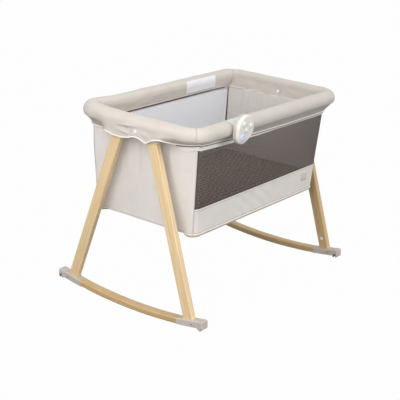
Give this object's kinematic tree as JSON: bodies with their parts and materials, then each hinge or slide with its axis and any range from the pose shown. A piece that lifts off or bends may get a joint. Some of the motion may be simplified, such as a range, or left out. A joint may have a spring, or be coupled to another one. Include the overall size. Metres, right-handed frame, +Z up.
{
  "type": "bassinet",
  "caption": "Rocking bassinet: a fabric basket with mesh sides on splayed wooden legs and curved rockers, with stop feet, a mattress and a soothing unit hooked on the rail.",
  "frame": {"origin": "on the floor under the middle of the bassinet, where the rockers stand", "axes": "+X along the bassinet from its near end to its far end, +Y from the front side with the soothing unit to the back side, +Z up"},
  "size_m": [0.9118, 0.6436, 0.699],
  "materials": {
    "beech": "clear satin lacquer",
    "taupe_plastic": "fine matt texture",
    "hub_plastic": "moulded, hidden under the cover",
    "tube_steel": "powder coated",
    "fastener_steel": "zinc plated",
    "foam": "open-cell foam",
    "cover_cloth": "plain woven cloth, cream",
    "wall_cloth": "plain woven cloth, light cream",
    "mesh_cloth": "open knitted mesh, taupe",
    "piping_cloth": "rolled binding, off-white",
    "quilt_cloth": "quilted cloth",
    "fibreboard": "raw board",
    "resin": "moulded resin",
    "unit_plastic": "satin moulded plastic",
    "key_plastic": "satin moulded plastic",
    "main_key_plastic": "satin moulded plastic",
    "circuit": "printed board",
    "speaker": "moulded, with a paper cone",
    "cell_case": "plain sleeve"
  },
  "bodies": {
    "bassinet_frame": {"rocker_near": "beech", "hub_outer_near": "hub_plastic", "hub_inner_near": "hub_plastic", "rail_end_tube_near": "tube_steel", "end_panel_near": "wall_cloth", "rail_cuff_near": "cover_cloth", "rocker_cap_near_front": "taupe_plastic", "leg_near_front": "beech", "rocker_cap_near_back": "taupe_plastic", "leg_near_back": "beech", "rocker_far": "beech", "hub_outer_far": "hub_plastic", "hub_inner_far": "hub_plastic", "rail_end_tube_far": "tube_steel", "end_panel_far": "wall_cloth", "rail_cuff_far": "cover_cloth", "rocker_cap_far_front": "taupe_plastic", "leg_far_front": "beech", "rocker_cap_far_back": "taupe_plastic", "leg_far_back": "beech", "rail_cover_front": "cover_cloth", "rail_side_tube_front": "tube_steel", "rail_foam_front": "foam", "side_band_front": "wall_cloth", "mesh_window_front": "mesh_cloth", "rail_cover_back": "cover_cloth", "rail_side_tube_back": "tube_steel", "rail_foam_back": "foam", "side_band_back": "wall_cloth", "mesh_window_back": "mesh_cloth", "stop_foot_pins": "fastener_steel", "leg_foot_screws": "fastener_steel", "leg_top_screws": "fastener_steel", "hub_screws": "fastener_steel", "rail_joint_sleeves": "tube_steel", "hem_piping": "piping_cloth", "snap_caps": "resin", "base_cover": "wall_cloth", "bottom_piping": "piping_cloth", "base_frame": "tube_steel", "base_board": "fibreboard"},
    "stop_foot_near_front": {"stop_foot_near_front": "taupe_plastic"},
    "stop_foot_near_back": {"stop_foot_near_back": "taupe_plastic"},
    "stop_foot_far_front": {"stop_foot_far_front": "taupe_plastic"},
    "stop_foot_far_back": {"stop_foot_far_back": "taupe_plastic"},
    "mattress": {"mattress_quilt": "quilt_cloth", "mattress_core": "foam"},
    "soother": {"soother_front": "unit_plastic", "soother_back": "unit_plastic", "soother_hook": "unit_plastic", "soother_screws": "fastener_steel", "soother_battery_door": "unit_plastic", "soother_batteries": "cell_case", "soother_circuit_board": "circuit", "soother_speaker": "speaker"},
    "soother_main_key": {"soother_main_key": "main_key_plastic"},
    "soother_light_key": {"soother_light_key": "key_plastic"},
    "soother_melody_key": {"soother_melody_key": "key_plastic"},
    "soother_volume_key": {"soother_volume_key": "key_plastic"}
  },
  "joints": [
    {"name": "stop_foot_near_front_hinge", "type": "hinge", "parent": "bassinet_frame", "child": "stop_foot_near_front", "pos_m": [-0.434, -0.277, 0.03], "axis": [1, 0, 0], "range_deg": [0, 30.7]},
    {"name": "stop_foot_near_back_hinge", "type": "hinge", "parent": "bassinet_frame", "child": "stop_foot_near_back", "pos_m": [-0.434, 0.277, 0.03], "axis": [-1, 0, 0], "range_deg": [0, 30.7]},
    {"name": "stop_foot_far_front_hinge", "type": "hinge", "parent": "bassinet_frame", "child": "stop_foot_far_front", "pos_m": [0.434, -0.277, 0.03], "axis": [1, 0, 0], "range_deg": [0, 30.7]},
    {"name": "stop_foot_far_back_hinge", "type": "hinge", "parent": "bassinet_frame", "child": "stop_foot_far_back", "pos_m": [0.434, 0.277, 0.03], "axis": [-1, 0, 0], "range_deg": [0, 30.7]},
    {"name": "mattress_lift", "type": "slide", "parent": "bassinet_frame", "child": "mattress", "axis": [0, 0, 1], "range_m": [0, 0.4]},
    {"name": "soother_lift", "type": "slide", "parent": "bassinet_frame", "child": "soother", "axis": [0, 0, 1], "range_m": [0, 0.1]},
    {"name": "soother_main_key_press", "type": "slide", "parent": "soother", "child": "soother_main_key", "axis": [0, 1, 0], "range_m": [0, 0.0015], "stiffness_N_per_m": 400, "springref_m": -0.0005},
    {"name": "soother_light_key_press", "type": "slide", "parent": "soother", "child": "soother_light_key", "axis": [0, 1, 0], "range_m": [0, 0.0015], "stiffness_N_per_m": 400, "springref_m": -0.0005},
    {"name": "soother_melody_key_press", "type": "slide", "parent": "soother", "child": "soother_melody_key", "axis": [0, 1, 0], "range_m": [0, 0.0015], "stiffness_N_per_m": 400, "springref_m": -0.0005},
    {"name": "soother_volume_key_press", "type": "slide", "parent": "soother", "child": "soother_volume_key", "axis": [0, 1, 0], "range_m": [0, 0.0015], "stiffness_N_per_m": 400, "springref_m": -0.0005}
  ]
}
